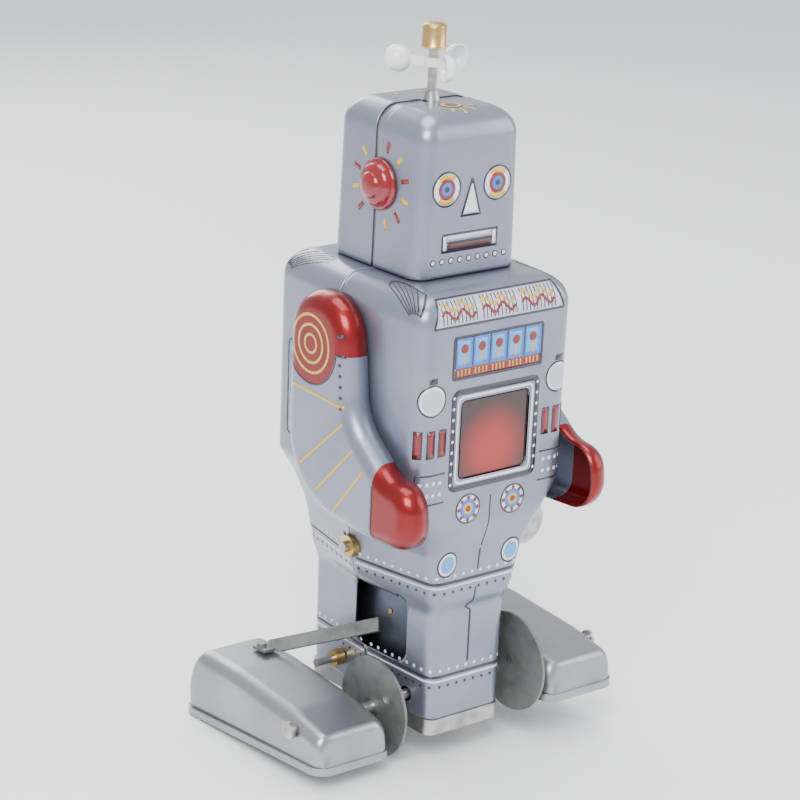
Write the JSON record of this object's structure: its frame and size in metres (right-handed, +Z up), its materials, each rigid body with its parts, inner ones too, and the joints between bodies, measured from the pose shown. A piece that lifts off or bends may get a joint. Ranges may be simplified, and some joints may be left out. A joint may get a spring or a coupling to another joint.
{
  "type": "wind-up tin toy",
  "caption": "Wind-up tinplate robot with a clockwork that walks two feet on crank discs and spins a spark wheel behind a red window.",
  "frame": {"origin": "centre of the underside of the base tray between the feet", "axes": "+Z up, the robot faces -Y, its own right hand is on the -X side"},
  "size_m": [0.1024, 0.0853, 0.2088],
  "materials": {
    "litho_tin": "printed, lacquered",
    "red_tin": "gloss",
    "plain_tin": "bright tinplate",
    "zinc_steel": "dull zinc",
    "steel": "satin",
    "brass": "bright",
    "spring_steel": "blued",
    "window_red": "clear red sheet",
    "white_enamel": "gloss",
    "flint": "rough"
  },
  "bodies": {
    "root": {"antenna_cap": "brass", "antenna_ferrule": "steel", "antenna_stem": "steel", "arbor_bushes": "steel", "back_shell": "litho_tin", "base_tray": "plain_tin", "flint": "flint", "flint_spring": "spring_steel", "frame_pillars": "steel", "front_shell": "litho_tin", "guide_bushes": "steel", "guide_rod": "steel", "head_back": "litho_tin", "head_front": "litho_tin", "left_arm": "red_tin", "left_ear": "red_tin", "left_motor_plate": "zinc_steel", "mainspring": "spring_steel", "neck_collar": "plain_tin", "ratchet_click": "steel", "right_arm": "red_tin", "right_ear": "red_tin", "right_motor_plate": "zinc_steel", "window_pane": "window_red"},
    "drive": {"drive_axle": "steel", "drive_pinion": "brass", "right_crank_disc": "zinc_steel", "left_crank_disc": "zinc_steel", "right_foot_pin": "steel", "left_foot_pin": "steel"},
    "right_foot": {"right_foot_cover": "plain_tin", "right_foot_sole": "plain_tin", "right_foot_bar": "zinc_steel", "right_bar_rivet": "steel"},
    "left_foot": {"left_foot_cover": "plain_tin", "left_foot_sole": "plain_tin", "left_foot_bar": "zinc_steel", "left_bar_rivet": "steel"},
    "winder": {"winding_arbor": "steel", "great_wheel": "brass", "ratchet_wheel": "steel", "winding_key": "plain_tin"},
    "second": {"second_wheel": "brass"},
    "third": {"third_wheel": "brass"},
    "spark": {"spark_arbor": "steel", "spark_wheel": "flint"},
    "rotor": {"wind_rotor": "white_enamel"}
  },
  "joints": [
    {"name": "drive_spin", "type": "hinge", "parent": "root", "child": "drive", "pos_m": [0, -0.0179, 0.0098], "axis": [1, 0, 0], "continuous": true},
    {"name": "right_foot_pivot", "type": "hinge", "parent": "drive", "child": "right_foot", "pos_m": [-0.037, -0.0121, 0.0054], "axis": [1, 0, 0], "continuous": true},
    {"name": "left_foot_pivot", "type": "hinge", "parent": "drive", "child": "left_foot", "pos_m": [0.037, -0.0237, 0.0142], "axis": [1, 0, 0], "continuous": true},
    {"name": "winder_spin", "type": "hinge", "parent": "root", "child": "winder", "pos_m": [0, 0, 0.051], "axis": [1, 0, 0], "continuous": true, "deforming": ["mainspring"]},
    {"name": "second_spin", "type": "hinge", "parent": "root", "child": "second", "pos_m": [0, -0.00487, 0.02996], "axis": [1, 0, 0], "continuous": true},
    {"name": "third_spin", "type": "hinge", "parent": "root", "child": "third", "pos_m": [0, -0.01083, 0.06969], "axis": [1, 0, 0], "continuous": true},
    {"name": "spark_spin", "type": "hinge", "parent": "root", "child": "spark", "pos_m": [0, -0.017, 0.08787], "axis": [1, 0, 0], "continuous": true},
    {"name": "rotor_spin", "type": "hinge", "parent": "root", "child": "rotor", "pos_m": [0, 0, 0.1885], "axis": [0, 0, 1], "continuous": true}
  ],
  "couplings": [
    {"joint": "right_foot_pivot", "follows": "drive_spin", "ratio": -1},
    {"joint": "left_foot_pivot", "follows": "drive_spin", "ratio": -1},
    {"joint": "second_spin", "follows": "drive_spin", "ratio": -0.30435},
    {"joint": "winder_spin", "follows": "drive_spin", "ratio": 0.086957},
    {"joint": "third_spin", "follows": "drive_spin", "ratio": -0.30435},
    {"joint": "spark_spin", "follows": "drive_spin", "ratio": 0.91304}
  ]
}
